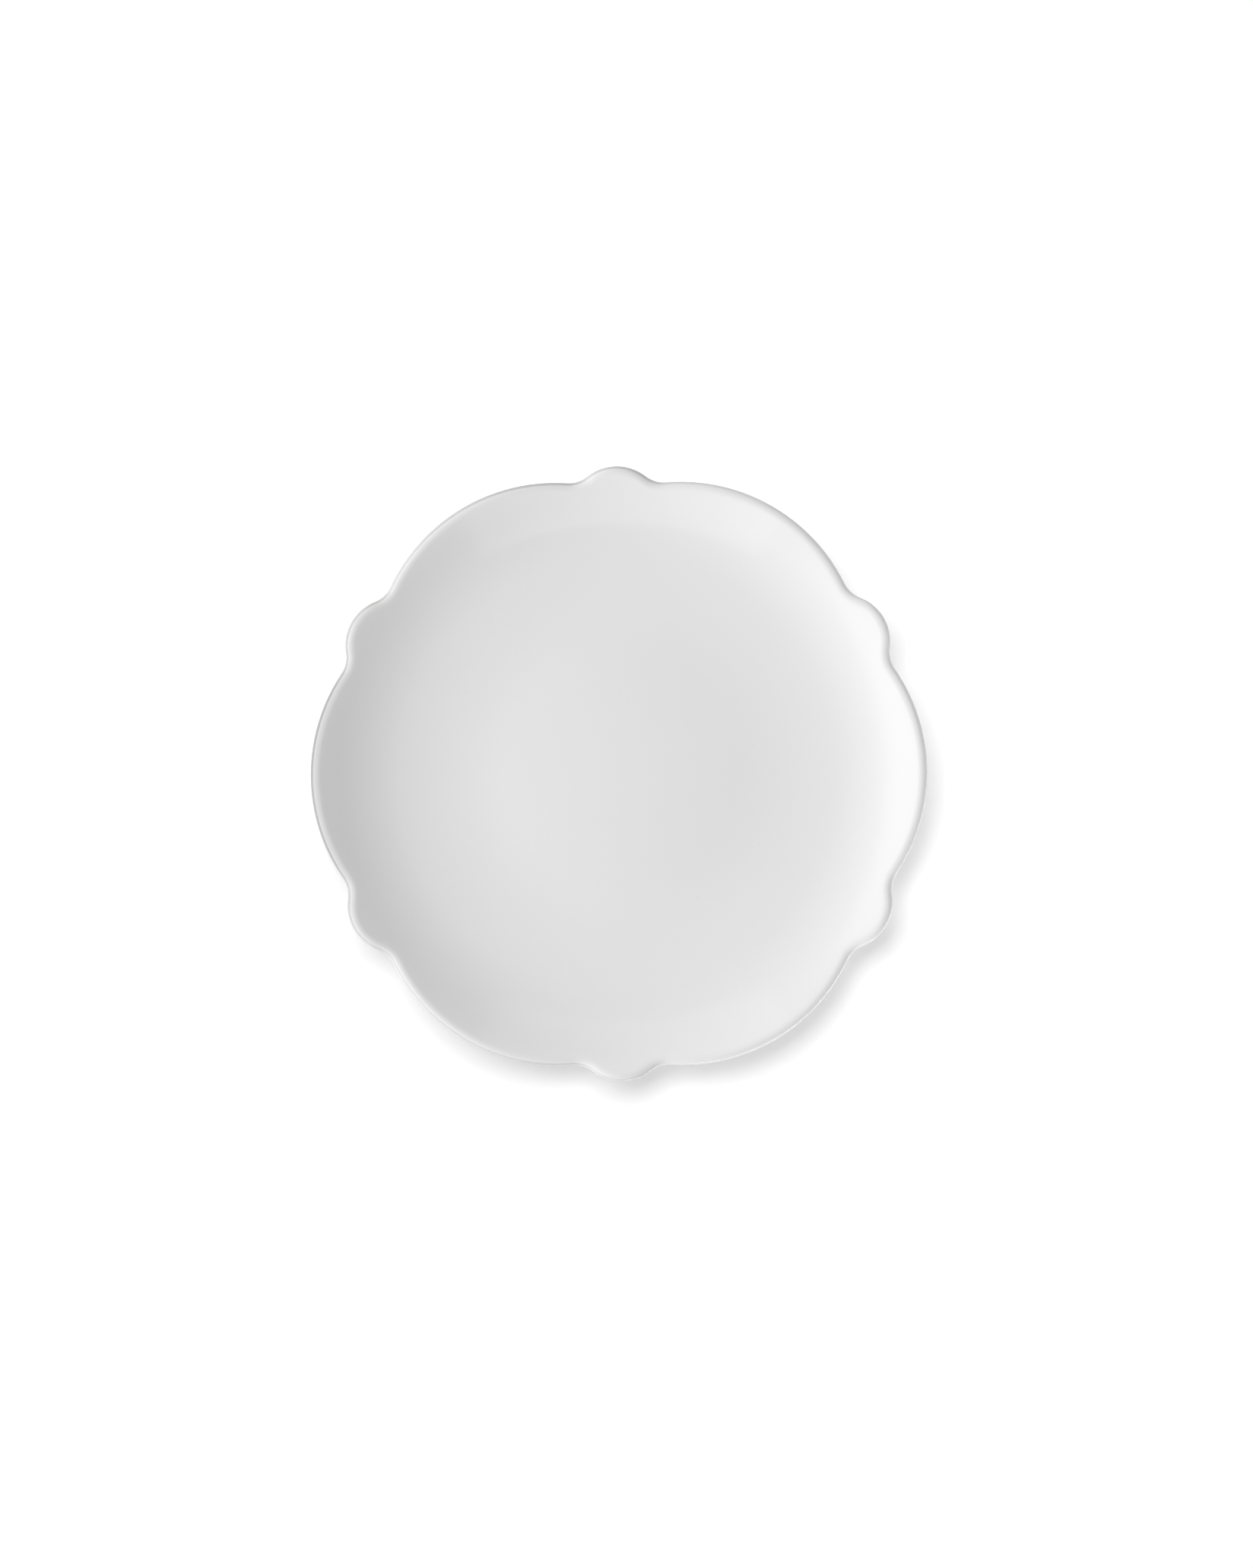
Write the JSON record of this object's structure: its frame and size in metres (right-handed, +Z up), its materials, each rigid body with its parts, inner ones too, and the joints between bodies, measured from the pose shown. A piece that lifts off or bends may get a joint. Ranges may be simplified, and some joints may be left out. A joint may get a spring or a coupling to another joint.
{
  "type": "scalloped dessert plate",
  "caption": "Round white glazed plate with a scalloped edge of broad and small lobes in turn, a shallow dish and a foot ring.",
  "frame": {"origin": "on the table at the plate's centre, in the plane of the foot's standing edge", "axes": "+Z up along the plate's axis, +X through the tip of a broad lobe, +Y through the tip of a small lobe"},
  "size_m": [0.21, 0.2094, 0.0202],
  "materials": {
    "fired_body": "matte",
    "gloss_glaze": "gloss"
  },
  "bodies": {
    "root": {"porcelain_body": "fired_body", "face_glaze": "gloss_glaze", "base_glaze": "gloss_glaze"}
  },
  "joints": []
}
